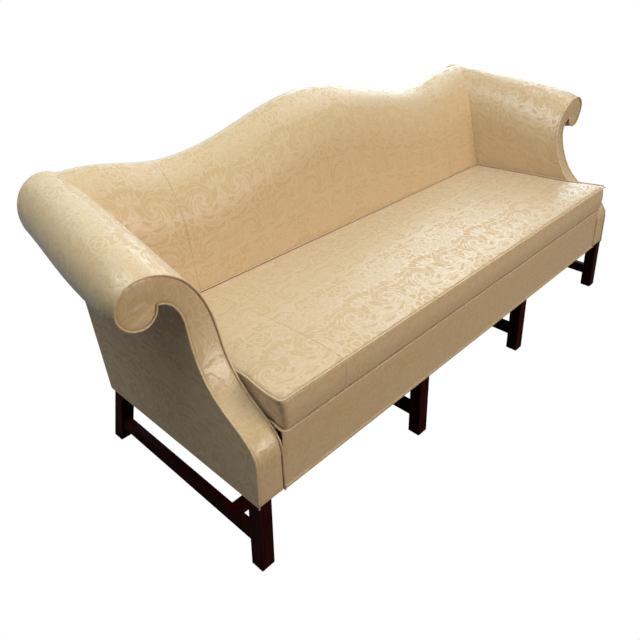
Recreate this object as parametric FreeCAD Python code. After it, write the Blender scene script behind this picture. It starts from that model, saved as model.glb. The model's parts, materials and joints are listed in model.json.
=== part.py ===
import FreeCAD, Part
import math
import os

os.makedirs("parts", exist_ok=True)
V = FreeCAD.Vector

# Camelback sofa, in millimetres. X runs along the sofa, Y to the back, Z up.
# While it is built, y = 0 is the face of the front rail's cover. At the end
# everything is moved so that the origin is the middle of the footprint.

# Seat box
seat_half = 868.0         # inner face of the arm at the seat, from the middle
arm_width = 81.0
side_x = seat_half + arm_width
rail_bottom = 204.0       # underside of the rails and covers, top of the legs
rail_top = 300.0
rail_thickness = 28.0
brace_width = 40.0
cover = 2.5               # cover fabric with its lining
gap = 0.3                 # a cover lies this far off what it covers

# Legs and stretchers
leg_width = 40.5
leg_set_in = 19.0         # from side_x in to the middle of the outer front legs
rear_leg_set_in = 29.0
leg_outer_x = side_x - leg_set_in
leg_rear_x = side_x - rear_leg_set_in
leg_inner_x = 0.32 * leg_outer_x
rear_leg_rake = 50.0      # the rear foot stands this far behind its top
leg_edge = 2.0
stretcher_width = 20.0
stretcher_height = 38.0
stretcher_bottom = 53.0
long_stretcher_y = 140.0

# Arm front, seen from the side: a plumb stump, then an S-curve back to the scroll
stump_top = 319.0
scroll_setback = 229.0
scroll_bottom = 680.0
facing_thickness = 8.0
stump_thickness = 28.0

# Arm roll at the scroll's face, and at the back; its middle overhangs side_x
roll_rear_y = 790.0
roll_out_front, roll_out_rear = 103.0, 25.0
roll_x_front, roll_x_rear = side_x + roll_out_front, side_x + roll_out_rear
roll_z_front, roll_z_rear = 700.0, 750.0
roll_r_front, roll_r_rear = 60.5, 88.0
throat_r_front, throat_r_rear = 40.0, 12.0
shoulder_z_front, shoulder_z_rear = 550.0, 680.0
shoulder_lean_front, shoulder_lean_rear = 8.0, 0.0   # outwards, from seat to shoulder
throat_z_front, throat_z_rear = 595.0, 640.0
lip = 2.0                 # the outside arm cover is tucked this far up into the throat
stump_pull = 0.33         # how far the S-curve's two ends run on before they turn,
scroll_pull = 0.10        # as shares of its rise
scroll_reach = 0.91       # and of its setback

# Back, seen from the side
back_y = 571.0            # inside back at the top of the cushion
back_z = 434.0
lean_inside = 0.22        # run over rise
lean_outside = 0.30
rear_y = 645.0            # outside back at the underside of the rail
crest_y = 775.0           # top of the crest over the ear
roll_over = 194.0         # the inside back starts to roll over this far below the crest
crest_drop = 60.0         # the rear edge of the crest lies this far below its top
back_pull = 0.57          # how long the inside back stays straight, as a share of roll_over
crest_pull = 0.40         # and the crest level, as a share of its depth

# Crest line, seen from the front
hump_z = 896.0
dip_z = 795.0
ear_z = 834.0
ear_inside_arm = 37.0
ear_x = seat_half + ear_inside_arm
dip_x = 0.68 * ear_x

# Frame inside
frame_depth = 45.0
post_width = 65.0
upright_width = 50.0
crest_padding = 34.0
crest_height = 95.0
tack_height = 50.0
back_tack_z = 400.0
arm_tack_z = 430.0
arm_rail_width = 28.0
arm_rail_height = 50.0
block_side = 46.0
block_height = 46.0
screw_r = 2.5
screw_length = 24.0
screw_clearance = 0.2
screw_inset = 14.0        # from the block's corner to its screws

# Webbing
strap_width = 50.0
strap_pitch = 120.0
cross_strap_pitch = 125.0
strap_thickness = 2.0

# Deck and loose cushion
deck_front_z = 378.0
deck_slope = 0.067
edge_roll = 12.0
band_return = 130.0       # the front band's cover runs this far back over the deck
dust_cover_thickness = 1.2
dust_cover_edge = 8.0
cushion_gap = 0.6
cushion_front = -8.0
cushion_height = 94.0
cushion_crown = 28.0
cushion_bulge = 6.0
seam_in = 1.2             # the bottom seam is drawn in by the welt
crown_power = 0.7         # under 1, the crown rises faster from its edges
cushion_corner = 9.0
welt_r = 3.0

# Facets in a quarter turn of the upholstery
roll_facets = 5
shoulder_facets = 6
throat_facets = 3
crest_facets = 6
edge_facets = 4
welt_facets = 8

# Worked out from the sizes above
inner = cover + gap
reach = 1.5 * side_x
sky = 1.25 * hump_z
frame_front = frame_depth + inner
strap_front = frame_front + strap_thickness + gap
turn_pull = 0.5523        # handle length that makes a cubic curve a quarter round


def box(x0, x1, y0, y1, z0, z1):
    return Part.makeBox(x1 - x0, y1 - y0, z1 - z0, V(x0, y0, z0))


def outline(points):
    return Part.Face(Part.makePolygon(points + points[:1]))


def prism(points, direction):
    return outline(points).extrude(direction)


def side_prism(points):
    """An outline in the YZ plane, run through the whole length."""
    return prism([V(-reach, p.y, p.z) for p in points], V(2 * reach, 0, 0))


def mirrored(shape):
    return shape.mirror(V(0, 0, 0), V(1, 0, 0))


def curve(start, pull, late_pull, end, steps):
    """Points along a cubic curve from start to end."""
    points = []
    for i in range(steps + 1):
        t = i / steps
        s = 1 - t
        points.append(start * s**3 + pull * (3 * s * s * t) + late_pull * (3 * s * t * t)
                      + end * t**3)
    return points


def patch(a, b, c, d):
    """Two facets between the edges a-b and d-c. They fold at the higher end of a-b,
    so that a cover and the stuffing under it fold alike."""
    corners = [[a, b, c], [a, c, d]] if a.z > b.z else [[b, c, d], [b, d, a]]
    return [outline(points) for points in corners]


def skin(sections):
    """A solid through flat outlines that all have the same number of corners."""
    faces = [outline(sections[0]), outline(sections[-1])]
    for near, far in zip(sections, sections[1:]):
        for i in range(len(near)):
            faces += patch(near[i - 1], near[i], far[i], far[i - 1])
    shell = Part.makeShell(faces)
    shell.sewShape()
    solid = Part.Solid(shell)
    if solid.Volume < 0:
        solid.reverse()
    return solid


def outside_y(z):
    return rear_y + lean_outside * (z - rail_bottom)


def inside_y(z):
    return back_y + lean_inside * (z - back_z)


def deck_z(y):
    return deck_front_z - deck_slope * y


def crest_z(x):
    """Height of the crest: a hump, a dip on each side, and an ear at each arm."""
    x = abs(x)
    if x < dip_x:
        return dip_z + (hump_z - dip_z) * math.cos(math.pi * x / (2 * dip_x)) ** 2
    share = min(1.0, (x - dip_x) / (ear_x - dip_x))
    return dip_z + (ear_z - dip_z) * math.sin(math.pi * share / 2) ** 2


def outside_slab(near, far):
    """The raked slab that lies between near and far in front of the outside back."""
    low, high = rail_bottom, sky
    return side_prism([
        V(0, outside_y(low) - far, low), V(0, outside_y(low) - near, low),
        V(0, outside_y(high) - near, high), V(0, outside_y(high) - far, high)])


def behind_facing(setback, rear):
    """What lies behind the arm front, which is moved back by setback, and the
    given distance in front of the back."""
    foot = V(0, setback, rail_bottom)
    stump = V(0, setback, stump_top)
    scroll = V(0, setback + scroll_setback, scroll_bottom)
    rise = scroll_bottom - stump_top
    front = curve(
        stump, stump + V(0, 0, stump_pull * rise),
        V(0, setback + scroll_reach * scroll_setback, stump_top + scroll_pull * rise),
        scroll, 2 * edge_facets)
    turn_z = ear_z - crest_drop
    turn = V(0, outside_y(turn_z) - rear, turn_z)
    over = V(0, crest_y, roll_z_rear + roll_r_rear + lip)
    rise = turn_pull * (over.z - turn_z)
    rounding = curve(
        over, over + V(0, turn_pull * (turn.y - crest_y), 0),
        turn + V(0, lean_outside * rise, rise), turn, edge_facets)
    return side_prism(
        [foot] + front + [V(0, scroll.y, sky), V(0, crest_y, sky)] + rounding
        + [V(0, outside_y(rail_bottom) - rear, rail_bottom)])


# Arms

def arm_outline(y, inset):
    """The right arm's section at y as two chains that meet in the throat: the
    inside one, from the seat over the shoulder and round the roll, and the
    outside one, from the throat down the outer panel."""
    share = (y - scroll_setback) / (roll_rear_y - scroll_setback)

    def between(front, rear):
        return front + (rear - front) * share

    def turned(x, z, across, up, start, stop, facets):
        """Points on an ellipse, from start to stop in quarter turns."""
        angles = [0.5 * math.pi * (start + (stop - start) * i / facets)
                  for i in range(facets + 1)]
        return [V(x + across * math.cos(a), y, z + up * math.sin(a)) for a in angles]

    x = between(roll_x_front, roll_x_rear)
    z = between(roll_z_front, roll_z_rear)
    full_r = between(roll_r_front, roll_r_rear)
    full_throat = between(throat_r_front, throat_r_rear)
    shoulder_z = between(shoulder_z_front, shoulder_z_rear)
    throat_z = between(throat_z_front, throat_z_rear)
    r = full_r - inset
    throat_r = full_throat - inset
    shoulder_x = seat_half + inset + between(shoulder_lean_front, shoulder_lean_rear)
    outer_x = side_x - inset
    shoulder = turned(
        x, shoulder_z, x - shoulder_x, z + r - shoulder_z, 2, 1, shoulder_facets)
    roll = turned(x, z, r, r, 1, -1, 2 * roll_facets)
    throat = turned(x, z - full_r + full_throat, throat_r, throat_r, -1, -2, throat_facets)
    tuck = throat[-1] + V(0, 0, lip + inset)
    outside = turned(
        tuck.x, throat_z, tuck.x - outer_x, tuck.z - throat_z, 1, 2, edge_facets)
    return shoulder + roll[1:] + throat[1:] + [tuck], outside


def dropped(point, z):
    return V(point.x, point.y, z)


def seat_foot(y, inset, z):
    return V(seat_half + inset, y, z)


def arm_section(y, inset, low):
    inside, outside = arm_outline(y, inset)
    return [seat_foot(y, inset, low)] + inside + outside[1:] + [dropped(outside[-1], low)]


def inside_strip(y, low):
    """The inside arm cover: up from the seat, over the shoulder and round the roll."""
    face = arm_outline(y, 0.0)[0]
    lining = arm_outline(y, cover)[0]
    return ([seat_foot(y, 0.0, low)] + face + lining[::-1] + [seat_foot(y, cover, low)])


def outside_strip(y, low):
    """The outside arm cover: from the throat down the outer panel."""
    face = arm_outline(y, 0.0)[1]
    lining = arm_outline(y, cover)[1]
    return face + [dropped(face[-1], low), dropped(lining[-1], low)] + lining[::-1]


def outer_contour(y, inset):
    """Everything inboard of the right arm's roll and outer panel."""
    inside, outside = arm_outline(y, inset)
    top = inside[shoulder_facets]
    return inside[shoulder_facets:] + outside[1:] + [
        dropped(outside[-1], rail_bottom), V(-reach, y, rail_bottom), V(-reach, y, sky),
        dropped(top, sky)]


arm_start = -10.0
arm_end = outside_y(hump_z)


def arm_skin(section, *values):
    return skin([section(arm_start, *values), section(arm_end, *values)])


def between_arms(inset):
    right = arm_skin(outer_contour, inset)
    return right.common(mirrored(right))


# Back

def back_outline(x, inset):
    """The back's section at x: inside face, roll over the crest, rear rounding."""
    top_z = crest_z(x)
    top_y = crest_y + lean_outside * (top_z - ear_z)
    turn_z = top_z - roll_over
    rear_z = top_z - crest_drop
    turn = V(x, inside_y(turn_z) + inset, turn_z)
    top = V(x, top_y, top_z - inset)
    rear = V(x, outside_y(rear_z) - inset, rear_z)
    ease = back_pull * roll_over
    over = curve(
        turn, turn + V(0, lean_inside * ease, ease),
        top - V(0, crest_pull * (top_y - turn.y), 0), top, crest_facets)
    rise = turn_pull * (top.z - rear_z)
    down = curve(
        top, top + V(0, turn_pull * (rear.y - top_y), 0),
        rear + V(0, lean_outside * rise, rise), rear, edge_facets)
    return over + down[1:]


def back_section(x, inset, low):
    foot = V(x, inside_y(low) + inset, low)
    heel = V(x, outside_y(low) - inset, low)
    return [foot] + back_outline(x, inset) + [heel]


def back_strip(x, low):
    """The inside back cover, from the seat over the crest to its rear edge."""
    foot = V(x, inside_y(low), low)
    return ([foot] + back_outline(x, 0.0) + back_outline(x, cover)[::-1]
            + [foot + V(0, cover, 0)])


back_end = roll_x_rear
hump_steps = 6
ear_steps = 3
half_stations = [dip_x * i / hump_steps for i in range(hump_steps + 1)]
half_stations += [dip_x + (ear_x - dip_x) * i / ear_steps for i in range(1, ear_steps + 1)]
half_stations.append(back_end)
stations = [-x for x in half_stations[:0:-1]] + half_stations


def back_skin(section, *values):
    return skin([section(x, *values) for x in stations])


def below_crest(drop):
    """What lies more than drop below the crest line, seen from the front."""
    edge = [-reach] + stations + [reach]
    corners = [V(x, 0, crest_z(x) - drop) for x in edge]
    return prism(corners + [V(reach, 0, 0), V(-reach, 0, 0)], V(0, reach, 0))


deck_low = rail_top + 2 * strap_thickness + gap
between_sides = between_arms(inner)
back_solid = back_skin(back_section, 0.0, deck_low).common(between_sides)
back_lined = back_skin(back_section, inner, deck_low)

parts = {}


def pair(name, right):
    parts[name + "_right"] = right
    parts[name + "_left"] = mirrored(right)


# Legs and stretchers

def leg_outline(x, y, z, inset):
    """A square with its corners taken off, inset on all sides."""
    half = leg_width / 2 - inset
    flat = half - leg_edge
    middle = y + leg_width / 2
    corners = [(-flat, -half), (flat, -half), (half, -flat), (half, flat),
               (flat, half), (-flat, half), (-half, flat), (-half, -flat)]
    return [V(x + dx, middle + dy, z) for dx, dy in corners]


def leg(x, y, rake):
    slope = rake / rail_bottom
    return skin([
        leg_outline(x, y + rake, 0, leg_edge),
        leg_outline(x, y + rake - slope * leg_edge, leg_edge, 0),
        leg_outline(x, y, rail_bottom, 0)])


rear_leg_y = rear_y - inner - leg_width
rake_slope = rear_leg_rake / rail_bottom
stretcher_top = stretcher_bottom + stretcher_height
stretcher_half = stretcher_width / 2


def side_stretcher(x):
    def rear(z):
        return rear_leg_y + rake_slope * (rail_bottom - z)

    low, high = stretcher_bottom, stretcher_top
    left = x - stretcher_half
    return prism(
        [V(left, leg_width, low), V(left, rear(low), low),
         V(left, rear(high), high), V(left, leg_width, high)], V(stretcher_width, 0, 0))


def long_stretcher(x0, x1):
    return box(x0 + stretcher_half, x1 - stretcher_half, long_stretcher_y - stretcher_half,
               long_stretcher_y + stretcher_half, stretcher_bottom, stretcher_top)


for name, x, rear_x in (("", leg_outer_x, leg_rear_x), ("_mid", leg_inner_x, leg_inner_x)):
    pair("leg_front" + name, leg(x, 0.0, 0.0))
    pair("leg_rear" + name, leg(rear_x, rear_leg_y, rear_leg_rake))
    pair("stretcher_side" + name, side_stretcher((x + rear_x) / 2))
pair("stretcher_long", long_stretcher(leg_inner_x, (leg_outer_x + leg_rear_x) / 2))
parts["stretcher_long_centre"] = long_stretcher(-leg_inner_x, leg_inner_x)

# Seat rails, braces and corner blocks

frame_slab = outside_slab(inner, frame_front)
ahead_of_frame = outside_slab(frame_front, reach)
stump_front = facing_thickness
stump_rear = facing_thickness + stump_thickness
side_rail_outer = side_x - inner
side_rail_inner = side_rail_outer - rail_thickness
stump_inner = seat_half + inner

parts["seat_rail_front"] = box(
    -seat_half, seat_half, inner, inner + rail_thickness, rail_bottom, rail_top)
parts["seat_rail_rear"] = frame_slab.common(
    box(-side_rail_outer, side_rail_outer, 0, reach, rail_bottom, rail_top))
pair("seat_rail", ahead_of_frame.common(
    box(side_rail_inner, side_rail_outer, stump_rear, reach, rail_bottom, rail_top)))
brace_half = brace_width / 2
pair("seat_brace", ahead_of_frame.common(
    box(leg_inner_x - brace_half, leg_inner_x + brace_half, inner + rail_thickness, reach,
        rail_bottom, rail_top)))


def corner_block(y, run):
    corner = V(side_rail_inner, y, rail_bottom)
    return prism(
        [corner, corner + V(-block_side, 0, 0), corner + V(0, run, 0)],
        V(0, 0, block_height))


rear_corner_y = outside_y(rail_bottom + block_height) - frame_front
blocks = [
    corner_block(stump_rear, block_side),
    corner_block(rear_corner_y, -block_side - lean_outside * block_height).common(
        ahead_of_frame)]
blocks = blocks + [mirrored(block) for block in blocks]


def screws(radius):
    """Two screws in each corner block, one into each rail that it joins."""
    screw_z = rail_bottom + block_height / 2
    side_x0 = side_rail_inner - screw_inset
    end_x0 = side_rail_inner - 2 * screw_inset
    starts = [
        (V(side_x0, stump_rear + screw_inset, screw_z), V(1, 0, 0)),
        (V(side_x0, rear_corner_y - 2 * screw_inset, screw_z), V(1, 0, 0)),
        (V(end_x0, stump_rear + 0.5 * screw_inset, screw_z), V(0, -1, 0)),
        (V(end_x0, rear_corner_y - 1.5 * screw_inset, screw_z), V(0, 1, 0))]
    right = [Part.makeCylinder(radius, screw_length, at, way) for at, way in starts]
    return right + [mirrored(screw) for screw in right]


drilled = Part.makeCompound(screws(screw_r + screw_clearance))
parts["corner_blocks"] = Part.makeCompound([block.cut(drilled) for block in blocks])
parts["corner_block_screws"] = Part.makeCompound(screws(screw_r))
for name in ("seat_rail_right", "seat_rail_left", "seat_rail_rear"):
    parts[name] = parts[name].cut(drilled)

# Back frame

below_crest_rail = below_crest(crest_padding + crest_height)
back_bones = frame_slab.common(below_crest_rail)
crest_end = stump_inner + post_width
crest_band = below_crest(crest_padding).cut(below_crest_rail)
parts["crest_rail"] = frame_slab.common(crest_band).common(back_lined).common(
    box(-crest_end, crest_end, 0, reach, rail_top, sky))
pair("back_post", back_bones.common(box(stump_inner, crest_end, 0, reach, rail_top, sky)))
upright_in = leg_inner_x - upright_width / 2
upright_out = leg_inner_x + upright_width / 2
pair("back_upright", back_bones.common(
    box(upright_in, upright_out, 0, reach, rail_top, sky)))
parts["back_tack_rails"] = Part.makeCompound([
    frame_slab.common(box(x0, x1, 0, reach, back_tack_z, back_tack_z + tack_height))
    for x0, x1 in ((-stump_inner, -upright_out), (-upright_in, upright_in),
                   (upright_out, stump_inner))])

# Webbing: straps up the back, and a seat web of straps from front to rear over cross
# straps from side to side

strap_half = strap_width / 2
strap_count = int(stump_inner / strap_pitch)
strap_xs = [i * strap_pitch for i in range(-strap_count, strap_count + 1)]
back_web = outside_slab(frame_front, frame_front + strap_thickness).common(
    below_crest(crest_padding + tack_height))
parts["back_webbing"] = Part.makeCompound([
    back_web.common(box(x - strap_half, x + strap_half, 0, reach, back_tack_z, sky))
    for x in strap_xs])
seat_web_rear = outside_y(rail_top) - frame_front
parts["seat_webbing"] = Part.makeCompound([
    box(x - strap_half, x + strap_half, 2 * inner, seat_web_rear + strap_half,
        rail_top + strap_thickness, rail_top + 2 * strap_thickness)
    for x in strap_xs])
cross_count = int((seat_web_rear - stump_rear) / cross_strap_pitch)
parts["seat_cross_webbing"] = Part.makeCompound([
    box(-side_rail_outer, side_rail_outer, y - strap_half, y + strap_half,
        rail_top, rail_top + strap_thickness)
    for y in [stump_rear + (i + 0.5) * cross_strap_pitch for i in range(cross_count)]])

# Arm frame

arm_whole = arm_skin(arm_section, 0.0, rail_bottom)
arm_inside = arm_skin(arm_section, inner, rail_bottom)
arm_upper = arm_skin(arm_section, inner, deck_low)
stump_zone = behind_facing(stump_front, 0.0)
padding_zone = behind_facing(stump_rear, cover + inner)
cover_zone = behind_facing(stump_front, cover)

pair("arm_facing", arm_whole.common(behind_facing(0.0, 0.0).cut(stump_zone)))
arm_stump = arm_inside.common(stump_zone.cut(behind_facing(stump_rear, 0.0)))
pair("arm_stump", arm_stump.cut(drilled))


def rail_end(x, y, z):
    dx, dz = arm_rail_width / 2, arm_rail_height / 2
    return [V(x - dx, y, z - dz), V(x + dx, y, z - dz),
            V(x + dx, y, z + dz), V(x - dx, y, z + dz)]


arm_rail_half = arm_rail_width / 2
arm_rail = skin([
    rail_end(roll_x_front - arm_rail_half, scroll_setback + stump_rear, roll_z_front),
    rail_end(crest_end - arm_rail_half, arm_end, roll_z_rear - inner)])
pair("arm_top_rail", arm_rail.common(ahead_of_frame))
arm_tack_x = stump_inner + arm_rail_width
arm_tack = box(arm_tack_x, arm_tack_x + arm_rail_width, 0, reach,
               arm_tack_z, arm_tack_z + tack_height)
pair("arm_tack_rail", arm_tack.common(padding_zone).common(ahead_of_frame))

# Stuffing

arm_rails = [parts["arm_top_rail_right"], parts["arm_tack_rail_right"]]
arm_wood = arm_rails + [parts["seat_rail_rear"], parts["back_post_right"]]
pair("arm_padding", arm_upper.common(padding_zone).cut(arm_wood).cut(back_solid))
both_arm_rails = arm_rails + [mirrored(rail) for rail in arm_rails]
back_hollow = outside_slab(inner, strap_front).common(below_crest(crest_padding))
back_padding = back_lined.common(between_sides).cut(back_hollow)
back_padding = back_padding.cut(outside_slab(-reach, inner))
parts["back_padding"] = back_padding.cut(both_arm_rails)


def deck_edge(inset, low, stop):
    """The seat's front edge from the side: up the face, over the roll, onto the deck."""
    r = edge_roll - inset
    face_z = deck_z(edge_roll) - edge_roll
    angles = [0.5 * math.pi * i / edge_facets for i in range(edge_facets + 1)]
    rolled = [V(0, edge_roll - r * math.cos(a), face_z + r * math.sin(a)) for a in angles]
    return [V(0, inset, low)] + rolled + [V(0, stop, deck_z(stop) - inset)]


def seat_prism(points):
    return prism([V(-seat_half, p.y, p.z) for p in points], V(2 * seat_half, 0, 0))


deck_rear_z = deck_z(inside_y(back_z))
deck_stop = inside_y(deck_rear_z - inner) - gap
parts["deck_padding"] = seat_prism(
    deck_edge(inner, deck_low, deck_stop) + [V(0, inside_y(deck_low) - gap, deck_low)])

# Covers

parts["cover_front_band"] = seat_prism(
    deck_edge(0.0, rail_bottom, band_return)
    + deck_edge(cover, rail_bottom, band_return)[::-1])
cloth_stop = deck_stop - cover
parts["deck_cloth"] = seat_prism([
    V(0, y, deck_z(y) - drop) for y, drop in (
        (band_return, 0), (cloth_stop, 0), (cloth_stop, cover), (band_return, cover))])
inside_back = back_skin(back_strip, deck_low).common(between_sides)
parts["cover_inside_back"] = inside_back.cut(both_arm_rails)
panel = outside_slab(0.0, cover).common(below_crest(crest_drop))
parts["cover_outside_back"] = panel.common(between_arms(0.0))
inside_arm = arm_skin(inside_strip, deck_low).common(cover_zone)
roll_end = arm_skin(arm_section, cover, deck_low).common(
    cover_zone.cut(behind_facing(stump_front, 2 * cover)))
roll_end = roll_end.common(box(0, reach, 0, reach, ear_z - crest_drop, sky))
pair("cover_inside_arm", inside_arm.fuse(roll_end).cut(back_solid))
pair("cover_outside_arm", arm_skin(outside_strip, rail_bottom).common(cover_zone))
dust_x = side_rail_outer - dust_cover_edge
dust = box(-dust_x, dust_x, dust_cover_edge, rear_y - dust_cover_edge,
           rail_bottom - dust_cover_thickness, rail_bottom)
parts["dust_cover"] = dust.cut([parts[name] for name in parts if name.startswith("leg_")])

# Loose cushion, pitched like the deck, with a crowned top and a bulged front

cushion_half = seat_half - cushion_gap - 2 * welt_r
cushion_rear = deck_stop - 2 * welt_r
cushion_rear_lean = lean_inside * cushion_height


def cushion_section(x, pull):
    """The cushion's section at x; pull draws its front and rear in at a corner."""
    front = cushion_front + pull
    rear = cushion_rear - pull
    crown = cushion_crown * (1 - (abs(x) / cushion_half) ** 3)
    bulge = cushion_bulge * (1 - pull / (2 * cushion_corner))
    low_rise = gap
    high_rise = gap + cushion_height
    points = [V(x, front + seam_in, deck_z(front) + low_rise)]
    for i in range(1, edge_facets + 1):
        share = i / edge_facets
        y = front - bulge * math.sin(math.pi * share)
        points.append(V(x, y, deck_z(front) + low_rise + cushion_height * share))
    top_rear = rear + cushion_rear_lean
    for i in range(1, 2 * edge_facets + 1):
        share = i / (2 * edge_facets)
        y = front + (top_rear - front) * share
        rise = crown * math.sin(math.pi * share) ** crown_power
        points.append(V(x, y, deck_z(y) + high_rise + rise))
    points.append(V(x, rear - seam_in, deck_z(rear) + low_rise))
    return points


corner_steps = 3
half_cushion = []
for i in range(corner_steps + 1):
    turn = 0.5 * math.pi * i / corner_steps
    half_cushion.append((
        cushion_half - cushion_corner * (1 - math.cos(turn)),
        cushion_corner * (1 - math.sin(turn))))
half_cushion += [(share * half_cushion[-1][0], 0.0) for share in (0.86, 0.66, 0.38)]
cushion_stations = (
    [(-x, pull) for x, pull in half_cushion] + [(0.0, 0.0)] + half_cushion[::-1])
parts["seat_cushion"] = skin([cushion_section(x, pull) for x, pull in cushion_stations])


def cushion_welt(height, rear):
    """A cord round the cushion's edge at the given height above the deck."""
    x = cushion_half + welt_r
    front, back = cushion_front - welt_r, rear + welt_r
    r = cushion_corner + welt_r
    middles = [(x - r, back - r), (r - x, back - r), (r - x, front + r), (x - r, front + r)]
    rings = []
    for corner, (mx, my) in enumerate(middles):
        for i in range(corner_steps + 1):
            a = 0.5 * math.pi * (corner + i / corner_steps)
            out = V(math.cos(a), math.sin(a), 0)
            centre = V(mx, my, 0) + out * r
            centre.z = deck_z(centre.y) + gap + height
            rings.append([
                centre + out * (welt_r * math.cos(b)) + V(0, 0, welt_r * math.sin(b))
                for b in [2 * math.pi * k / welt_facets for k in range(welt_facets)]])
    faces = []
    for near, far in zip(rings, rings[1:] + rings[:1]):
        for i in range(welt_facets):
            faces += patch(near[i - 1], near[i], far[i], far[i - 1])
    shell = Part.makeShell(faces)
    shell.sewShape()
    solid = Part.Solid(shell)
    if solid.Volume < 0:
        solid.reverse()
    return solid


parts["cushion_welt_top"] = cushion_welt(cushion_height, cushion_rear + cushion_rear_lean)
parts["cushion_welt_bottom"] = cushion_welt(welt_r, cushion_rear)

# The origin goes to the middle of the footprint, on the floor

bounds = Part.makeCompound(list(parts.values())).optimalBoundingBox()
shift = V(0, -(bounds.YMin + bounds.YMax) / 2, 0)
for name, shape in parts.items():
    shape.translated(shift).exportStep("parts/" + name + ".step")
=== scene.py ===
import json
import math

import bmesh
import bpy
import numpy as np
from mathutils import Matrix, Vector, geometry, kdtree


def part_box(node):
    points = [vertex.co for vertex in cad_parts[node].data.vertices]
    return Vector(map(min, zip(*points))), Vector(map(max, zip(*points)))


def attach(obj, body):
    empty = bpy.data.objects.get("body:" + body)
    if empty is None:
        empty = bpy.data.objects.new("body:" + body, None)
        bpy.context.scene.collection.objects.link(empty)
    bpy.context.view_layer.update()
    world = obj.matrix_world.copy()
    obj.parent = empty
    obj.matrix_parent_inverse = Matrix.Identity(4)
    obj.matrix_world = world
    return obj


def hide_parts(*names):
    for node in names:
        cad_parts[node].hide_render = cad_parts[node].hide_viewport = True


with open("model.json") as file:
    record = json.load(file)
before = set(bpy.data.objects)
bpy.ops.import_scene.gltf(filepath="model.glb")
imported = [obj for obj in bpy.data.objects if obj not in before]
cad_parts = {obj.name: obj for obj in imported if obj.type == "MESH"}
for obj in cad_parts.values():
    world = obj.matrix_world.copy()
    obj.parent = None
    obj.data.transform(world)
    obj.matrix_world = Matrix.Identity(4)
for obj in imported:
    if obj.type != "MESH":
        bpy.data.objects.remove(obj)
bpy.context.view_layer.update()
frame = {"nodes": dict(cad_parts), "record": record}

scene = bpy.context.scene
nodes = frame["nodes"]

# Sizes of the upholstery, in metres, as in the CAD. Y is counted from the front rail.
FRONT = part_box("cover_front_band")[0].y
RAIL_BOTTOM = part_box("cover_front_band")[0].z
SEAT_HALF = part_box("cover_front_band")[1].x
SIDE_X = 0.949            # plain side of the outside arm
ARM_MIDDLE, ARM_HALF = 0.914, 0.038
STUMP_TOP, SCROLL_BOTTOM, SCROLL_SETBACK = 0.319, 0.680, 0.229
STUMP_PULL, SCROLL_PULL, SCROLL_REACH = 0.33, 0.10, 0.91
REAR_ROLL_Y = 0.790
REAR_Y, LEAN_OUTSIDE = 0.645, 0.30
BACK_Y, BACK_Z, LEAN_INSIDE = 0.571, 0.434, 0.22
BACK_FOOT = 0.32
BACK_END, BACK_END_LOW = 0.974, 0.925
CREST_Y, ROLL_OVER, CREST_DROP = 0.775, 0.194, 0.060
CREST_PULL = 0.57         # how straight the inside back runs before it rolls over
HUMP_Z, DIP_Z, EAR_Z = 0.896, 0.795, 0.834
DIP_X, EAR_X = 0.6154, 0.905
DECK_Z, DECK_SLOPE, DECK_EDGE = 0.378, 0.067, 0.012
WELT, WELT_SIDES = 0.0028, 10
ROLL_EASE = 0.045         # the roll's rear end is rounded this much
QUARTER = 0.5523          # pull that makes a cubic curve nearly a quarter circle

# The arm's section. A pair is a size at the arm front and at the roll's rear end.
ROLL_X, ROLL_Z, ROLL_RADIUS = (1.052, 0.974), (0.700, 0.750), (0.0605, 0.088)
THROAT_RADIUS, THROAT_Z = (0.040, 0.012), (0.595, 0.640)
SHOULDER_LEAN, SHOULDER_Z = (0.008, 0.0), (0.550, 0.680)
TUCK = 0.002
FOOT_STEPS, SHOULDER_STEPS, ROLL_STEPS, THROAT_STEPS, COVE_STEPS = 16, 16, 32, 8, 12
ROLL_TOP = FOOT_STEPS + SHOULDER_STEPS
SWELL_START, SWELL_FULL = ROLL_TOP - 12, ROLL_TOP + 2


def smooth(obj):
    for polygon in obj.data.polygons:
        polygon.use_smooth = True
    return obj


def new_object(name, data):
    obj = bpy.data.objects.new(name, data)
    scene.collection.objects.link(obj)
    return obj


def outside_y(z):
    return REAR_Y + LEAN_OUTSIDE * (z - RAIL_BOTTOM)


def inside_y(z):
    return BACK_Y + LEAN_INSIDE * (z - BACK_Z)


def deck_z(y):
    return DECK_Z - DECK_SLOPE * y


def crest_z(x):
    """Height of the crest: a hump in the middle, a dip at each side and an ear past it."""
    x = abs(x)
    if x < DIP_X:
        return DIP_Z + (HUMP_Z - DIP_Z) * math.cos(math.pi * x / (2 * DIP_X)) ** 2
    share = min(1.0, (x - DIP_X) / (EAR_X - DIP_X))
    return DIP_Z + (EAR_Z - DIP_Z) * math.sin(math.pi * share / 2) ** 2


def cubic(a, b, c, d, t):
    """The point at share t of a cubic curve that starts at a, ends at d and aims at b and c."""
    s = 1 - t
    return tuple(s**3 * p + 3 * s * s * t * q + 3 * s * t * t * r + t**3 * w
                 for p, q, r, w in zip(a, b, c, d))


def ease(value, low, high):
    """0 under low, 1 over high, and smooth between."""
    t = min(1.0, max(0.0, (value - low) / (high - low)))
    return t * t * (3 - 2 * t)


FACING_STEPS = 60
FACING = [cubic((0, STUMP_TOP), (0, STUMP_TOP + STUMP_PULL * (SCROLL_BOTTOM - STUMP_TOP)),
                (SCROLL_REACH * SCROLL_SETBACK,
                 STUMP_TOP + SCROLL_PULL * (SCROLL_BOTTOM - STUMP_TOP)),
                (SCROLL_SETBACK, SCROLL_BOTTOM), i / FACING_STEPS)
          for i in range(FACING_STEPS + 1)]
FACING_Y, FACING_Z = [p[0] for p in FACING], [p[1] for p in FACING]
FACING_TWIST = 0.005      # its outer edge lies this much further back, the inner less


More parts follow.
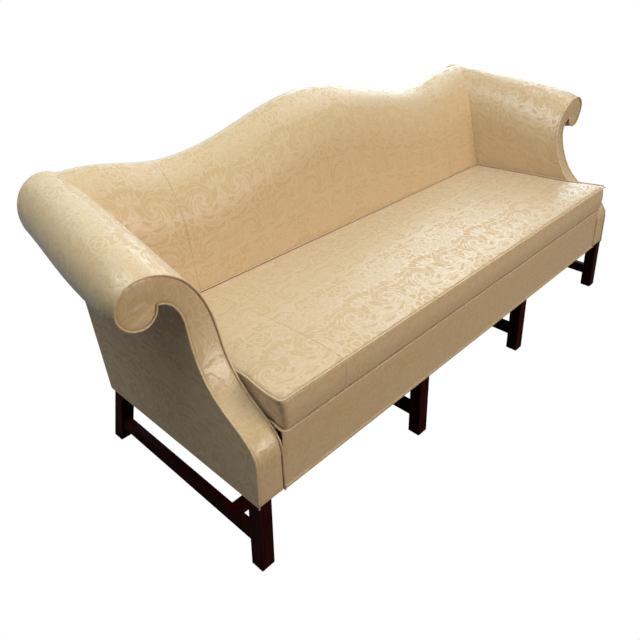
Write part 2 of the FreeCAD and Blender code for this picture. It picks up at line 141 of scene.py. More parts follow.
def facing_y(x, z):
    """The arm front's S-curve: how far back its face lies at height z."""
    across = min(1.0, max(-1.0, (x - ARM_MIDDLE) / ARM_HALF))
    twist = FACING_TWIST * across * ease(z, 0.36, 0.46) * (1 - ease(z, 0.66, 0.74))
    return float(np.interp(z, FACING_Z, FACING_Y)) + twist


def ellipse(x, z, across, up, start, stop, steps):
    """Points on an ellipse round (x, z), from start to stop in quarter turns."""
    angles = [0.5 * math.pi * (start + (stop - start) * i / steps) for i in range(steps + 1)]
    return [(x + across * math.cos(a), z + up * math.sin(a)) for a in angles]


def arm_chains(y, inset=0.0):
    """The right arm's section: seat to throat round the roll, and throat to rail."""
    share = (y - SCROLL_SETBACK) / (REAR_ROLL_Y - SCROLL_SETBACK)

    def between(pair):
        return pair[0] + (pair[1] - pair[0]) * share

    x, z = between(ROLL_X), between(ROLL_Z)
    full_r, full_throat = between(ROLL_RADIUS), between(THROAT_RADIUS)
    shoulder_z, throat_z = between(SHOULDER_Z), between(THROAT_Z)
    r, throat_r = full_r - inset, max(full_throat - inset, 0.001)
    seat_x, side_x = SEAT_HALF + inset, SIDE_X - inset
    shoulder_x = seat_x + between(SHOULDER_LEAN)
    shoulder = ellipse(x, shoulder_z, x - shoulder_x, z + r - shoulder_z, 2, 1, SHOULDER_STEPS)
    roll = ellipse(x, z, r, r, 1, -1, ROLL_STEPS)
    throat = ellipse(x, z - full_r + full_throat, throat_r, throat_r, -1, -2, THROAT_STEPS)
    tuck_x, tuck_z = throat[-1][0], throat[-1][1] + TUCK
    cove = ellipse(tuck_x, throat_z, tuck_x - side_x, tuck_z - throat_z, 1, 2, COVE_STEPS)
    foot_in = [(seat_x + (shoulder_x - seat_x) * i / FOOT_STEPS,
                RAIL_BOTTOM + (shoulder_z - RAIL_BOTTOM) * i / FOOT_STEPS)
               for i in range(FOOT_STEPS)]
    foot_out = [(side_x, throat_z + (RAIL_BOTTOM - throat_z) * i / FOOT_STEPS)
                for i in range(1, FOOT_STEPS + 1)]
    return foot_in + shoulder + roll[1:] + throat[1:] + [(tuck_x, tuck_z)], cove + foot_out


def on_front(chain, i):
    """Where point i of an arm chain meets the face of the arm front."""
    y = SCROLL_SETBACK
    for _ in range(8):
        x, z = arm_chains(y)[chain][i]
        y = facing_y(x, z)
    return Vector((x, y, z))


def on_rear(chain, i, distance, inset=0.0):
    """Where point i of an arm chain lies at a distance in front of the outside back."""
    y = REAR_ROLL_Y
    for _ in range(4):
        x, z = arm_chains(y, inset)[chain][i]
        y = outside_y(z) - distance
    return Vector((x, y, z))


CHAIN_COUNTS = [len(chain) for chain in arm_chains(REAR_ROLL_Y)]
FRONT_EDGES = [[on_front(chain, i) for i in range(CHAIN_COUNTS[chain])] for chain in (0, 1)]


def edge_distance(point, border):
    """How far a point lies from a closed outline."""
    shortest = 1.0
    for i, p in enumerate(border):
        nearest, share = geometry.intersect_point_line(point, border[i - 1], p)
        nearest = border[i - 1] + (p - border[i - 1]) * min(1.0, max(0.0, share))
        shortest = min(shortest, (nearest - point).length)
    return shortest


def cloth_object(name, points, faces, cloth):
    """A smooth surface. Its points count Y from the front rail, and each has a cloth UV."""
    mesh = bpy.data.meshes.new(name)
    mesh.from_pydata([Vector((x, y + FRONT, z)) for x, y, z in points], [], faces)
    layer = mesh.uv_layers.new(name="cloth")
    for loop in mesh.loops:
        layer.data[loop.index].uv = cloth[loop.vertex_index]
    return smooth(new_object(name, mesh))


def grid_mesh(name, rows):
    """A surface through rows of points, with the cloth's own lengths as its UV."""
    across = len(rows[0])
    points = [Vector(p) for row in rows for p in row]
    faces = []
    for r in range(len(rows) - 1):
        for c in range(across - 1):
            a = r * across + c
            faces.append((a, a + 1, a + across + 1, a + across))
    middle_row, middle_column = len(rows) // 2, across // 2
    u, v = [0.0], [0.0]
    for c in range(1, across):
        a = middle_row * across + c
        u.append(u[-1] + (points[a] - points[a - 1]).length)
    for r in range(1, len(rows)):
        a = r * across + middle_column
        v.append(v[-1] + (points[a] - points[a - across]).length)
    return cloth_object(name, points, faces, [(along, up) for up in v for along in u])


def flat_panel(name, outline, place, spacing, ring=0.0, flip=False, height=lambda z: z):
    """Fills an outline in the XZ plane with small faces. place(x, z, edge) bends it into
    shape, where edge is the distance to the outline. A ring of points follows the
    outline that far inside it, and height(z) is how far up the cloth z lies."""
    border = [Vector(p) for p in outline]
    count = len(border)
    inside = []
    if ring:
        for i, p in enumerate(border):
            way = (border[(i + 1) % count] - border[i - 1]).normalized()
            inside.append(p + ring * Vector((-way.y, way.x)))
    xs, zs = [p.x for p in border], [p.y for p in border]
    for i in range(1, int((max(xs) - min(xs)) / spacing) + 1):
        for k in range(1, int((max(zs) - min(zs)) / spacing) + 1):
            inside.append(Vector((min(xs) + i * spacing, min(zs) + k * spacing)))
    lengths = [edge_distance(p, border) for p in inside]
    inside = [p for i, (p, d) in enumerate(zip(inside, lengths))
              if (i < count and ring and d > 0.8 * ring) or d > ring + 0.5 * spacing]
    edges = [(i, (i + 1) % count) for i in range(count)]
    points, _, faces, *_ = geometry.delaunay_2d_cdt(border + inside, edges, [], 1, 1e-6)
    placed = [place(p.x, p.y, edge_distance(p, border)) for p in points]
    return cloth_object(name, placed, [f[::-1] if flip else f for f in faces],
                        [(p.x, height(p.y)) for p in points])


def welt(name, path, closed=False):
    """A covered cord along a path of points."""
    count = len(path)
    angles = [2 * math.pi * k / WELT_SIDES for k in range(WELT_SIDES)]
    lengths = [0.0]
    for i in range(1, count):
        lengths.append(lengths[-1] + (path[i] - path[i - 1]).length)
    points, normal = [], None
    for i, p in enumerate(path):
        before = path[i - 1] if (i or closed) else p
        after = path[(i + 1) % count] if (i < count - 1 or closed) else p
        way = (after - before).normalized()
        if normal is None:
            normal = way.orthogonal().normalized()
        normal = (normal - way * normal.dot(way)).normalized()
        side = way.cross(normal)
        points += [p + WELT * (math.cos(a) * normal + math.sin(a) * side) for a in angles]
    rings = [[r * WELT_SIDES + k for k in range(WELT_SIDES)] for r in range(count)]
    faces = []
    for r in range(count if closed else count - 1):
        ring, following = rings[r], rings[(r + 1) % count]
        for k in range(WELT_SIDES):
            n = (k + 1) % WELT_SIDES
            faces.append((ring[k], ring[n], following[n], following[k]))
    if not closed:
        faces += [tuple(rings[0][::-1]), tuple(rings[-1])]
    obj = cloth_object(name, points, faces, [(a * WELT, up) for up in lengths for a in angles])
    made = bmesh.new()
    made.from_mesh(obj.data)
    bmesh.ops.recalc_face_normals(made, faces=made.faces)
    made.to_mesh(obj.data)
    made.free()
    return obj


def mirror(obj, name):
    """The left twin of a right-hand piece."""
    twin = obj.copy()
    twin.data = obj.data.copy()
    twin.name = name
    scene.collection.objects.link(twin)
    twin.data.transform(Matrix.Scale(-1, 4, (1, 0, 0)))
    twin.data.flip_normals()
    return twin


def both(obj, stem):
    return {"right": obj, "left": mirror(obj, stem + "_left")}


# Arms

PUFF, PUFF_LENGTH = 0.015, 0.035      # the roll swells this much behind its front welt
INSIDE_ARM_START = 6                  # the cover starts at this point of the section
ARM_COLUMNS, REAR_COLUMNS = 40, 10


def arm_point(chain, i, y, start_y):
    """Point i of an arm's cover at y, with the roll's swell."""
    x, z = arm_chains(y)[chain][i]
    if chain == 1 or i < SWELL_START:
        return x, y, z
    last = CHAIN_COUNTS[0] - 1
    weight = ease(i, SWELL_START, SWELL_FULL) * (1 - ease(i, last - 10, last))
    rearward = (y - SCROLL_SETBACK) / (REAR_ROLL_Y - SCROLL_SETBACK)
    swell = PUFF * (1 - math.exp(-(y - start_y) / PUFF_LENGTH)) * (1 - ease(rearward, 0.35, 1.0))
    wide_x, wide_z = arm_chains(y, -swell)[0][i]
    return x + (wide_x - x) * weight, y, z + (wide_z - z) * weight


def arm_cover(name, chain, first):
    """A chain swept from the arm front to the back, with a rounded rear end."""
    rows = []
    for i in range(first, CHAIN_COUNTS[chain]):
        start, end = FRONT_EDGES[chain][i], on_rear(chain, i, ROLL_EASE)
        row = []
        for c in range(ARM_COLUMNS + 1):
            y = start.y + (end.y - start.y) * (c / ARM_COLUMNS) ** 1.4
            row.append(arm_point(chain, i, y, start.y))
        for c in range(1, REAR_COLUMNS + 1):
            turn = 0.5 * math.pi * c / REAR_COLUMNS
            inset = ROLL_EASE * (1 - math.cos(turn)) if chain == 0 else 0.0
            row.append(on_rear(chain, i, ROLL_EASE * (1 - math.sin(turn)), inset))
        rows.append(row)
    return grid_mesh(name, rows)


def roll_end(name):
    """The flat that closes the roll's rounded rear end."""
    points = [on_rear(0, i, 0.001, ROLL_EASE) for i in range(SWELL_START, CHAIN_COUNTS[0])]
    return cloth_object(name, points, [tuple(range(len(points)))[::-1]],
                        [(p.x, p.z) for p in points])


inside_arms = both(arm_cover("inside_arm_right", 0, INSIDE_ARM_START), "inside_arm")
outside_arms = both(arm_cover("outside_arm_right", 1, 0), "outside_arm")
roll_ends = both(roll_end("roll_end_right"), "roll_end")

inner_edge, outer_edge = FRONT_EDGES
facing_outline = [(p.x, p.z) for p in inner_edge + outer_edge[1:]]
FACING_PUFF, PUFF_REACH = 0.0025, 0.012     # the arm front swells this far from its welts
DRAWN_IN, DRAWN_REACH = 0.0030, 0.0012      # and is drawn in right beside them
PLEATS = (((1.024, 0.688), (1.078, 0.652)), ((1.030, 0.704), (1.092, 0.690)))
PLEAT_DEPTH, PLEAT_WIDTH = 0.0018, 0.02


def facing_surface(x, z, edge):
    """The arm front, drawn in at its welts, with pleats from the throat over the scroll."""
    puff = FACING_PUFF * (1 - math.exp(-edge / PUFF_REACH))
    puff -= DRAWN_IN * math.exp(-edge / DRAWN_REACH)
    for start, end in PLEATS:
        way = Vector(end) - Vector(start)
        along = (Vector((x, z)) - Vector(start)).dot(way) / way.length_squared
        off = (Vector((x, z)) - Vector(start)).cross(way) / way.length
        if 0 < along < 1:
            fold = PLEAT_DEPTH * math.tanh(off / PLEAT_DEPTH) * math.exp(-abs(off) / PLEAT_WIDTH)
            puff += fold * math.sin(math.pi * along)
    return x, facing_y(x, z) - puff, z


FACING_LENGTH = [0.0]
for (y0, z0), (y1, z1) in zip(FACING, FACING[1:]):
    FACING_LENGTH.append(FACING_LENGTH[-1] + math.hypot(y1 - y0, z1 - z0))


def facing_height(z):
    """Length along the S-curve up to z, less its length up to the stump's top."""
    beyond = max(0.0, z - SCROLL_BOTTOM) + min(0.0, z - STUMP_TOP)
    return float(np.interp(z, FACING_Z, FACING_LENGTH)) + beyond


facings = both(flat_panel("facing_right", facing_outline, facing_surface, 0.0045, 0.0022,
                          height=facing_height), "facing")
WELT_PROUD = 0.0008


def edge_welt(name, edge):
    """A cord on an edge of the arm front, half proud of the front and of the arm."""
    path = []
    for i, p in enumerate(edge):
        way = (edge[min(i + 1, len(edge) - 1)] - edge[max(i - 1, 0)]).normalized()
        path.append(p + WELT_PROUD * Vector((-way.z, -1, way.x)))
    return welt(name, path)


inner_welts = both(edge_welt("facing_welt_inner_right", inner_edge), "facing_welt_inner")
outer_welts = both(edge_welt("facing_welt_outer_right", outer_edge), "facing_welt_outer")

# Back

FOOT_ROWS, CREST_ROWS, REAR_ROWS, BACK_HALVES = 16, 28, 10, 90


def back_section(x):
    """The inside back's section at x: up its lean, over the crest and down to its rear edge."""
    top_z = crest_z(x)
    top_y = CREST_Y + LEAN_OUTSIDE * (top_z - EAR_Z)
    turn_z, rear_z = top_z - ROLL_OVER, top_z - CREST_DROP
    turn, top, rear = (inside_y(turn_z), turn_z), (top_y, top_z), (outside_y(rear_z), rear_z)
    pull, rise = CREST_PULL * ROLL_OVER, QUARTER * CREST_DROP
    points = []
    for i in range(FOOT_ROWS):
        z = BACK_FOOT + (turn_z - BACK_FOOT) * i / FOOT_ROWS
        points.append((x, inside_y(z), z))
    for i in range(CREST_ROWS):
        points.append((x, *cubic(turn, (turn[0] + LEAN_INSIDE * pull, turn_z + pull),
                                 (top_y - 0.4 * (top_y - turn[0]), top_z), top,
                                 i / CREST_ROWS)))
    for i in range(REAR_ROWS + 1):
        points.append((x, *cubic(top, (top_y + QUARTER * (rear[0] - top_y), top_z),
                                 (rear[0] + LEAN_OUTSIDE * rise, rear_z + rise), rear,
                                 i / REAR_ROWS)))
    return points


def within_arms(x, z):
    """Draws the ends of the back in, so that they end inside the arms at height z."""
    start = SEAT_HALF - 0.01
    end = BACK_END_LOW + (BACK_END - BACK_END_LOW) * ease(z, 0.70, 0.78)
    if abs(x) < start:
        return x
    share = (abs(x) - start) / (BACK_END - start)
    return math.copysign(start + share * (end - start), x)


back_columns = [[(within_arms(x, z), y, z) for x, y, z in back_section(BACK_END * i / BACK_HALVES)]
                for i in range(-BACK_HALVES, BACK_HALVES + 1)]
inside_back = grid_mesh("inside_back", [list(row) for row in zip(*back_columns)])


def rear_outline():
    """The outside back's edge: crest line, roll, throat and side, all on the rake."""
    crest = [(BACK_END * i / 60, crest_z(BACK_END * i / 60) - CREST_DROP)
             for i in range(-60, 61)]
    side = [on_rear(0, i, 0, ROLL_EASE) for i in range(ROLL_TOP + 1, CHAIN_COUNTS[0])]
    side = [p for p in side if (p.z < crest[-1][1] and p.x > BACK_END) or p.z < ROLL_Z[0]]
    side += [on_rear(1, i, 0) for i in range(1, CHAIN_COUNTS[1])]
    right = [(p.x, p.z) for p in side]
    left = [(-x, z) for x, z in right]
    return crest + right + left[::-1]


outside_back = flat_panel("outside_back", rear_outline(),
                          lambda x, z, edge: (x, outside_y(z), z), 0.03, flip=True)

# Seat band, deck and cushion

HEM_HEIGHT, HEM_PROUD, HEM_EDGE = 0.007, 0.0018, 0.001
BAND_TOP = DECK_Z - DECK_EDGE
BAND_CORNER = 0.0005
BAND_ROWS, BAND_HALVES, EDGE_ROWS = 12, 60, 6
DECK_LINES = (0.04, 0.08, 0.13)


def band_section():
    """The seat front's section: hem, face, rounded edge and the start of the deck."""
    section = [(0.0, RAIL_BOTTOM), (-HEM_PROUD, RAIL_BOTTOM + HEM_EDGE),
               (-HEM_PROUD, RAIL_BOTTOM + HEM_HEIGHT),
               (0.0, RAIL_BOTTOM + HEM_HEIGHT + HEM_EDGE)]
    section += [(0.0, RAIL_BOTTOM + i * (BAND_TOP - RAIL_BOTTOM) / BAND_ROWS)
                for i in range(1, BAND_ROWS + 1)]
    turns = [0.5 * math.pi * i / EDGE_ROWS for i in range(1, EDGE_ROWS + 1)]
    section += [(DECK_EDGE * (1 - math.cos(a)), BAND_TOP + DECK_EDGE * math.sin(a)) for a in turns]
    return section + [(y, deck_z(y)) for y in DECK_LINES]


band_xs = [(SEAT_HALF - BAND_CORNER) * i / BAND_HALVES
           for i in range(-BAND_HALVES, BAND_HALVES + 1)]
band_rows = []
for y, z in band_section():
    behind = min(y, 0.08) + 0.05
    middle = [(x, y, z) for x in band_xs]
    band_rows.append([(-SEAT_HALF, behind, z), (-SEAT_HALF, y + BAND_CORNER, z)] + middle
                     + [(SEAT_HALF, y + BAND_CORNER, z), (SEAT_HALF, behind, z)])
front_band = grid_mesh("front_band", band_rows)

CUSHION_FRONT, CUSHION_HALF, CUSHION_HEIGHT = -0.008, 0.8614, 0.094
CUSHION_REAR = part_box("seat_cushion")[1].y - FRONT - LEAN_INSIDE * CUSHION_HEIGHT
CORNER, CORNER_STEPS, SIDE_STEPS = 0.009, 7, 90
DECK_GAP = 0.0003
LOW_SWELL, TOP_SWELL = 0.006, 0.015   # the cushion's ends swell this far past the arm fronts
SWELL_X = 0.75                        # from here on outwards


def end_bulge(y, share):
    """How far a cushion end swells past the arm front, at a share of its height."""
    low = LOW_SWELL * (1 - ease(y, 0.00, 0.04))
    top = TOP_SWELL * (1 - ease(y, 0.02, 0.15))
    return low + (top - low) * share


def cushion_edge(height, rear):
    """The path of a cushion's welt, at a height over the deck."""
    x, front, back, r = CUSHION_HALF + WELT, CUSHION_FRONT - WELT, rear + WELT, CORNER + WELT
    middles = [(x - r, back - r), (r - x, back - r), (r - x, front + r), (x - r, front + r)]
    path = []
    for corner, (mx, my) in enumerate(middles):
        arc = [0.5 * math.pi * (corner + i / CORNER_STEPS) for i in range(CORNER_STEPS + 1)]
        path += [(mx + r * math.cos(a), my + r * math.sin(a)) for a in arc]
        nx, ny = middles[(corner + 1) % 4]
        for i in range(1, SIDE_STEPS):
            t = i / SIDE_STEPS
            path.append((mx + (nx - mx) * t + r * math.cos(arc[-1]),
                         my + (ny - my) * t + r * math.sin(arc[-1])))
    share = height / CUSHION_HEIGHT
    return [Vector((px + math.copysign(end_bulge(py, share), px) * ease(abs(px), SWELL_X, x - 0.01),
                    py, deck_z(py) + DECK_GAP + height)) for px, py in path]


TOP_EDGE = cushion_edge(CUSHION_HEIGHT, CUSHION_REAR + LEAN_INSIDE * CUSHION_HEIGHT)
LOW_EDGE = cushion_edge(WELT, CUSHION_REAR)
SEAM_HOLD, DECK_HOLD = 0.009, 0.006   # cloth this close to a seam or the deck keeps its place


def fill_cushion():
    """A stuffed, boxed cushion: the CAD's one as cloth under pressure, held at its seams."""
    cushion = new_object("cushion", nodes["seat_cushion"].data.copy())
    bpy.context.view_layer.objects.active = cushion
    cushion.select_set(True)
    remesh = cushion.modifiers.new("voxels", "REMESH")
    remesh.mode = "VOXEL"
    remesh.voxel_size = 0.0075
    bpy.ops.object.modifier_apply(modifier="voxels")
    for vertex in cushion.data.vertices:
        x, y = vertex.co.x, vertex.co.y - FRONT
        share = min(1.0, max(0.0, (vertex.co.z - deck_z(y)) / CUSHION_HEIGHT))
        vertex.co.x += math.copysign(end_bulge(y, share), x) * ease(abs(x), SWELL_X, CUSHION_HALF)
    seams = [Vector((p.x, p.y + FRONT, p.z)) for p in TOP_EDGE + LOW_EDGE]
    tree = kdtree.KDTree(len(seams))
    for i, p in enumerate(seams):
        tree.insert(p, i)
    tree.balance()
    held = []
    for vertex in cushion.data.vertices:
        under = vertex.co.z < deck_z(vertex.co.y - FRONT) + DECK_HOLD
        if under or tree.find(vertex.co)[2] < SEAM_HOLD:
            held.append(vertex.index)
    cushion.vertex_groups.new(name="held").add(held, 1.0, "REPLACE")
    cloth = cushion.modifiers.new("cloth", "CLOTH")
    cloth.settings.quality = 5
    cloth.settings.mass = 0.3
    cloth.settings.tension_stiffness = 30
    cloth.settings.compression_stiffness = 30
    cloth.settings.bending_stiffness = 2
    cloth.settings.use_pressure = True
    cloth.settings.uniform_pressure_force = 1.5
    cloth.settings.vertex_group_mass = "held"
    cloth.settings.effector_weights.gravity = 0
    cloth.collision_settings.use_collision = False
    for number in range(1, 21):
        scene.frame_set(number)
    bpy.ops.object.modifier_apply(modifier="cloth")
    relax = cushion.modifiers.new("relax", "SMOOTH")
    relax.iterations = 6
    bpy.ops.object.modifier_apply(modifier="relax")
    return smooth(cushion)


def cloth_uv(obj):
    """UV in metres, laid flat on whichever of the three planes a face is nearest to."""
    mesh = obj.data
    layer = mesh.uv_layers.get("cloth") or mesh.uv_layers.new(name="cloth")
    for polygon in mesh.polygons:
        n = [abs(v) for v in polygon.normal]
        for index in polygon.loop_indices:
            p = mesh.vertices[mesh.loops[index].vertex_index].co
            if n[2] >= max(n[0], n[1]):
                layer.data[index].uv = (p.x, p.y)
            elif n[1] >= n[0]:
                layer.data[index].uv = (p.x, p.z)
            else:
                layer.data[index].uv = (p.y, p.z)


cushion = fill_cushion()
cloth_uv(cushion)
top_welt = welt("cushion_welt_top_piping", TOP_EDGE, closed=True)
bottom_welt = welt("cushion_welt_bottom_piping", LOW_EDGE, closed=True)

# Materials


class Maths:
    """A value in a shader, so that a formula can be written as plain Python."""

    def __init__(self, graph, socket):
        self.graph, self.socket = graph, socket

    def op(self, operation, *others):
        return self.graph.value("ShaderNodeMath", {"operation": operation},
                                dict(enumerate((self,) + others)))

    def __add__(self, other):
        return self.op("ADD", other)

    def __sub__(self, other):
        return self.op("SUBTRACT", other)

    def __rsub__(self, other):
        return self * -1.0 + other

    def __mul__(self, other):
        return self.op("MULTIPLY", other)

    def __truediv__(self, other):
        return self.op("DIVIDE", other)

    __radd__ = __add__
    __rmul__ = __mul__

    def sin(self):
        return self.op("SINE")

    def cos(self):
        return self.op("COSINE")

    def abs(self):
        return self.op("ABSOLUTE")

    def max(self, other):
        return self.op("MAXIMUM", other)

    def wrap(self, low, high):
        return self.op("WRAP", high, low)

    def step(self, low, high):
        """0 under low, 1 over high, and smooth between."""
        return self.graph.value("ShaderNodeMapRange", {"interpolation_type": "SMOOTHSTEP"},
                                {"Value": self, "From Min": low, "From Max": high})


class Graph:
    """The nodes of a material or of the world."""

    def __init__(self, tree):
        self.tree = tree

    def fill(self, node, sockets):
        """Gives a node's sockets their values or links."""
        for key, value in sockets.items():
            socket = node.inputs[key]
            if isinstance(value, Maths):
                value = value.socket
            if isinstance(value, bpy.types.NodeSocket):
                self.tree.links.new(value, socket)
            elif socket.type == "RGBA":
                socket.default_value = (*value, 1.0)
            else:
                socket.default_value = value

    def node(self, kind, settings=None, sockets=None):
        """A new node of a type, with its settings and then its sockets."""
        node = self.tree.nodes.new(kind)
        for name, value in (settings or {}).items():
            setattr(node, name, value)
        self.fill(node, sockets or {})
        return node

    def value(self, kind, settings=None, sockets=None, output=0):
        """The same, as a value for formulas."""
        return Maths(self, self.node(kind, settings, sockets).outputs[output])

    def noise(self, position, scale, detail, distortion):
        return self.value("ShaderNodeTexNoise", None, {
            "Vector": position, "Scale": scale, "Detail": detail, "Distortion": distortion}, "Fac")

    def mix(self, factor, a, b):
        """Colour a at factor 0 and colour b at 1."""
        return self.node("ShaderNodeMix", {"data_type": "RGBA"},
                         {"Factor": factor, 6: a, 7: b}).outputs[2]

    def bump(self, height, distance, strength):
        return self.node("ShaderNodeBump", None, {
            "Height": height, "Distance": distance, "Strength": strength}).outputs["Normal"]


def length(x, y):
    return (x * x + y * y).op("SQRT")


def new_material(name):
    """A material, the graph of its nodes and its shader."""
    material = bpy.data.materials.new(name)
    material.use_nodes = True
    return material, Graph(material.node_tree), material.node_tree.nodes["Principled BSDF"]


REPEAT_X, REPEAT_Y = 0.30, 0.40
SEAM_X, SEAM_HALF = 0.665, 0.0022     # where the widths of cloth are joined
GROUND, FIGURE, SEAM = (0.565, 0.382, 0.192), (0.62, 0.437, 0.24), (0.30, 0.18, 0.09)
CURLS = ((0.085, 0.075, 0.075, 0.8), (0.065, -0.095, 0.070, -0.8))
LARGE_FLOWER, SMALL_FLOWER = 0.060, 0.048
LARGE_PETALS, SMALL_PETALS = 7.0, 5.0
SCALLOP = 0.38                        # how deep the flowers are scalloped


def flower(x, y, radius, petals):
    """A many-petalled flower: 1 inside its scalloped edge, and its petals' figure."""
    r = length(x, y) / radius
    turn = y.op("ARCTAN2", x)
    figure = (turn * (petals * 5.0) + r * 6.0).sin().step(0.2, 0.9) * 0.45
    for share, phase in ((0.30, 0.0), (0.62, 0.25), (0.96, 0.0)):
        lobed = r * (1.0 + SCALLOP * (turn * (petals / 2) + phase * 2 * math.pi).sin().abs())
        figure = figure.max(1.0 - (lobed - share).abs().step(0.03, 0.10))
    inside = 1.0 - (r * (1.0 + SCALLOP * (turn * (petals / 2)).sin().abs())).step(0.98, 1.04)
    return inside, figure


def curl(x, y, centre_x, centre_y, radius, turns):
    """Turns the plane round a centre, most in its middle, so that leaves curl there."""
    dx, dy = x - centre_x, y - centre_y
    near = (1.0 - length(dx, dy) / radius).max(0.0)
    angle = near * near * (turns * 2 * math.pi)
    sine, cosine = angle.sin(), angle.cos()
    return dx * cosine - dy * sine + centre_x, dx * sine + dy * cosine + centre_y


def damask(name, seams=False):
    """Tone-on-tone damask: mirrored leaf scrolls round two flowers, half a repeat apart."""
    material, graph, shader = new_material(name)
    cloth = graph.node("ShaderNodeUVMap", {"uv_map": "cloth"}).outputs[0]
    split = graph.node("ShaderNodeSeparateXYZ", None, {0: cloth})
    u, v = Maths(graph, split.outputs[0]), Maths(graph, split.outputs[1])
    x = u.op("PINGPONG", REPEAT_X / 2)
    y = v.wrap(-REPEAT_Y / 2, REPEAT_Y / 2)
    half_y = (v + REPEAT_Y / 2).wrap(-REPEAT_Y / 2, REPEAT_Y / 2)
    curled_x, curled_y = x, y
    for place_and_turns in CURLS:
        curled_x, curled_y = curl(curled_x, curled_y, *place_and_turns)
    turn = curled_y * (2 * math.pi / REPEAT_Y)
    ring = REPEAT_Y / (2 * math.pi)
    position = graph.node("ShaderNodeCombineXYZ", None, {
        0: curled_x, 1: turn.cos() * ring, 2: turn.sin() * ring}).outputs[0]
    leaves = graph.noise(position, 25.0, 1.6, 1.8)
    sprigs = graph.noise(position, 58.0, 1.0, 2.2)
    leaf = (leaves - 0.5).step(0.0, 0.012)
    veins = (leaves * 105.0).sin().step(-0.2, 0.6)
    lace = 1.0 - (leaves - 0.5).abs().step(0.030, 0.050)
    sprig = 1.0 - (sprigs - 0.5).abs().step(0.020, 0.050)
    large, petals = flower(x, y, LARGE_FLOWER, LARGE_PETALS)
    small, small_petals = flower(REPEAT_X / 2 - x, half_y, SMALL_FLOWER, SMALL_PETALS)
    figure = lace.max(sprig * 0.7).max(leaf * (veins * 0.5 + 0.3))
    figure = figure * (1.0 - large) + large * petals
    figure = figure * (1.0 - small) + small * small_petals
    colour, height = graph.mix(figure, GROUND, FIGURE), figure
    if seams:
        place = graph.node("ShaderNodeTexCoord").outputs["Object"]
        across = graph.value("ShaderNodeSeparateXYZ", None, {0: place})
        seam = 1.0 - (across.abs() - SEAM_X).abs().step(0.0006, SEAM_HALF)
        colour = graph.mix(seam * 0.45, colour, SEAM)
        height = figure - seam * 3.0
    graph.fill(shader, {
        "Base Color": colour, "Roughness": figure * -0.40 + 0.78,
        "Coat Weight": figure * 0.95 + 0.05, "Coat Roughness": 0.34, "IOR": 1.35,
        "Sheen Weight": 0.30, "Sheen Roughness": 0.40,
        "Normal": graph.bump(height, 0.0003, 0.35)})
    return material


def mahogany():
    """Dark red polished wood, with its grain along the legs."""
    material, graph, shader = new_material("mahogany")
    place = graph.node("ShaderNodeTexCoord").outputs["Object"]
    stretched = graph.node("ShaderNodeMapping", None, {"Vector": place, "Scale": (1.0, 1.0, 0.12)})
    grain = graph.noise(stretched.outputs[0], 90.0, 4.0, 0.4)
    colour = graph.mix(grain.step(0.3, 0.7), (0.013, 0.0014, 0.0010), (0.034, 0.0034, 0.0024))
    graph.fill(shader, {"Base Color": colour, "Roughness": 0.42, "IOR": 1.12,
                        "Normal": graph.bump(grain, 0.0003, 0.3)})
    return material


def plain(name, colour, roughness, metallic=0.0):
    material, graph, shader = new_material(name)
    graph.fill(shader, {"Base Color": colour, "Roughness": roughness, "Metallic": metallic})
    return material


MATERIALS = {
    "damask": damask("damask"),
    "damask_seamed": damask("damask_seamed", seams=True),
    "mahogany": mahogany(),
    "frame_wood": plain("frame_wood", (0.45, 0.32, 0.18), 0.7),
    "stuffing": plain("stuffing", (0.80, 0.76, 0.66), 0.95),
    "deck_cotton": plain("deck_cotton", (0.66, 0.56, 0.40), 0.9),
    "jute": plain("jute", (0.45, 0.33, 0.18), 0.95),
    "dust_cloth": plain("dust_cloth", (0.02, 0.02, 0.02), 0.95),
    "screw_steel": plain("screw_steel", (0.55, 0.55, 0.55), 0.35, 1.0)}


def finish_piece(obj, slot, body="sofa", stands_for=(), look=None):
    """Gives a piece its look, puts it on the body it rides on, and hides the nodes it stands for.
    """
    obj.data.materials.clear()
    obj.data.materials.append(MATERIALS[look or slot])
    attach(obj, body)
    if stands_for:
        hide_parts(*stands_for)


for entry in frame["record"]["subparts"]:
    node = nodes[entry["node"]]
    node.data.materials.clear()
    node.data.materials.append(MATERIALS[entry["material_slot"]])
    if entry["material_slot"] == "mahogany":
        edges = node.modifiers.new("edges", "BEVEL")
        edges.width, edges.segments, edges.limit_method = 0.0015, 2, "ANGLE"

for side in ("left", "right"):
    finish_piece(inside_arms[side], "damask",
                 stands_for=("cover_inside_arm_" + side, "arm_padding_" + side))
    finish_piece(outside_arms[side], "damask", stands_for=("cover_outside_arm_" + side,))
    finish_piece(facings[side], "damask", stands_for=("arm_facing_" + side,))
    for pieces in (inner_welts, roll_ends, outer_welts):
        finish_piece(pieces[side], "damask")
finish_piece(inside_back, "damask", stands_for=("cover_inside_back", "back_padding"),
             look="damask_seamed")
finish_piece(outside_back, "damask", stands_for=("cover_outside_back",))
finish_piece(front_band, "damask", stands_for=("cover_front_band",))
finish_piece(cushion, "damask", "cushion", ("seat_cushion",), look="damask_seamed")
finish_piece(top_welt, "damask", "cushion", ("cushion_welt_top",))
finish_piece(bottom_welt, "damask", "cushion", ("cushion_welt_bottom",))

# Floor, light and camera


def show_white(graph, shader, white, output):
    """Sends a shader to the output, but shows the camera plain white in its place."""
    ray = graph.node("ShaderNodeLightPath").outputs["Is Camera Ray"]
    mixed = graph.node("ShaderNodeMixShader", None, {
        0: ray, 1: shader.outputs[0], 2: white.outputs[0]})
    graph.fill(graph.tree.nodes[output], {"Surface": mixed.outputs[0]})


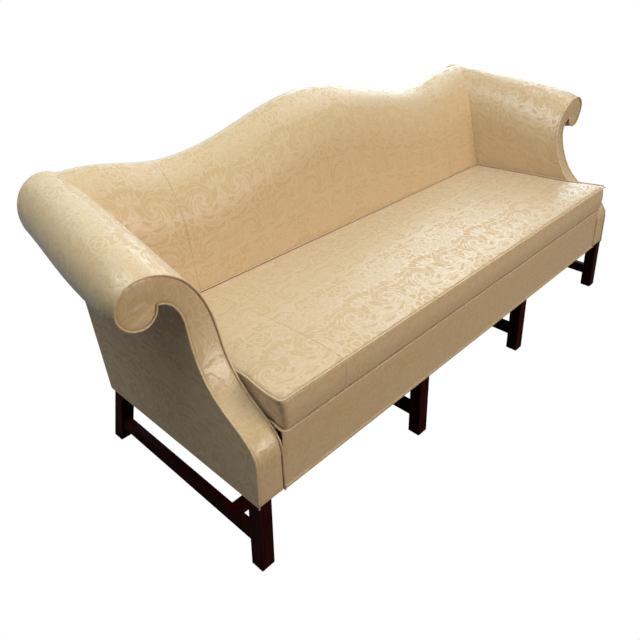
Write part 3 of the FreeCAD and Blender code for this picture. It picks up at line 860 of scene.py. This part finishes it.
floor_material, floor_graph, floor_shader = new_material("floor")
floor_graph.fill(floor_shader, {"Base Color": (0.12, 0.12, 0.12), "Roughness": 1.0})
show_white(floor_graph, floor_shader, floor_graph.node("ShaderNodeEmission"), "Material Output")
floor = new_object("floor", bpy.data.meshes.new("floor"))
floor.data.from_pydata([(-6, -6, 0), (6, -6, 0), (6, 6, 0), (-6, 6, 0)], [], [(0, 1, 2, 3)])
floor.data.materials.append(floor_material)

world = bpy.data.worlds.new("room")
world.use_nodes = True
scene.world = world
sky = Graph(world.node_tree)
glow = world.node_tree.nodes["Background"]
sky.fill(glow, {"Color": (1.0, 0.93, 0.84), "Strength": 0.10})
white = sky.node("ShaderNodeBackground", None, {"Color": (1.0, 1.0, 1.0), "Strength": 1.0})
show_white(sky, glow, white, "World Output")


def area_light(name, place, aim, size, power, colour):
    """A square light, with its side in metres and its power in watts."""
    data = bpy.data.lights.new(name, "AREA")
    data.size, data.energy, data.color = size, power, colour
    lamp = new_object(name, data)
    lamp.location = place
    lamp.rotation_euler = (Vector(aim) - Vector(place)).to_track_quat("-Z", "Y").to_euler()


COOL, WARM = (0.78, 0.91, 1.0), (1.0, 0.95, 0.89)
area_light("front", (0.6, -4.0, 2.2), (0, 0, 0.5), 2.2, 114, WARM)
area_light("overhead_left", (-1.1, 0.1, 3.2), (0, 0.1, 0.5), 2.0, 58, COOL)
area_light("overhead_right", (1.9, 0.1, 3.0), (0, 0.2, 0.6), 2.0, 32, COOL)
area_light("right_wall", (4.2, 2.6, 2.2), (0.2, 0.2, 0.5), 3.6, 138, COOL)
area_light("back_wall", (0.4, 3.8, 2.6), (0, 0.2, 0.5), 4.0, 52, COOL)
area_light("left_high", (-2.6, 0.6, 3.4), (-0.9, 0.3, 0.7), 1.6, 24, COOL)
area_light("left_wall", (-4.0, 1.0, 1.8), (-0.6, 0.2, 0.8), 2.2, 4, WARM)

CAMERA_PLACE = (-1.67544, -0.91219 + FRONT, 1.45434)
AZIMUTH, TILT, ROLL = math.radians(-47.0956), math.radians(67.0976), math.radians(-0.2111)
camera_data = bpy.data.cameras.new("camera")
camera_data.lens = 37.885
camera_data.shift_x, camera_data.shift_y = -0.02145, -0.18214
camera = new_object("camera", camera_data)
camera.matrix_world = (
    Matrix.Translation(CAMERA_PLACE) @ Matrix.Rotation(AZIMUTH, 4, "Z")
    @ Matrix.Rotation(TILT, 4, "X") @ Matrix.Rotation(ROLL, 4, "Z"))
scene.camera = camera
scene.view_settings.view_transform = "Standard"
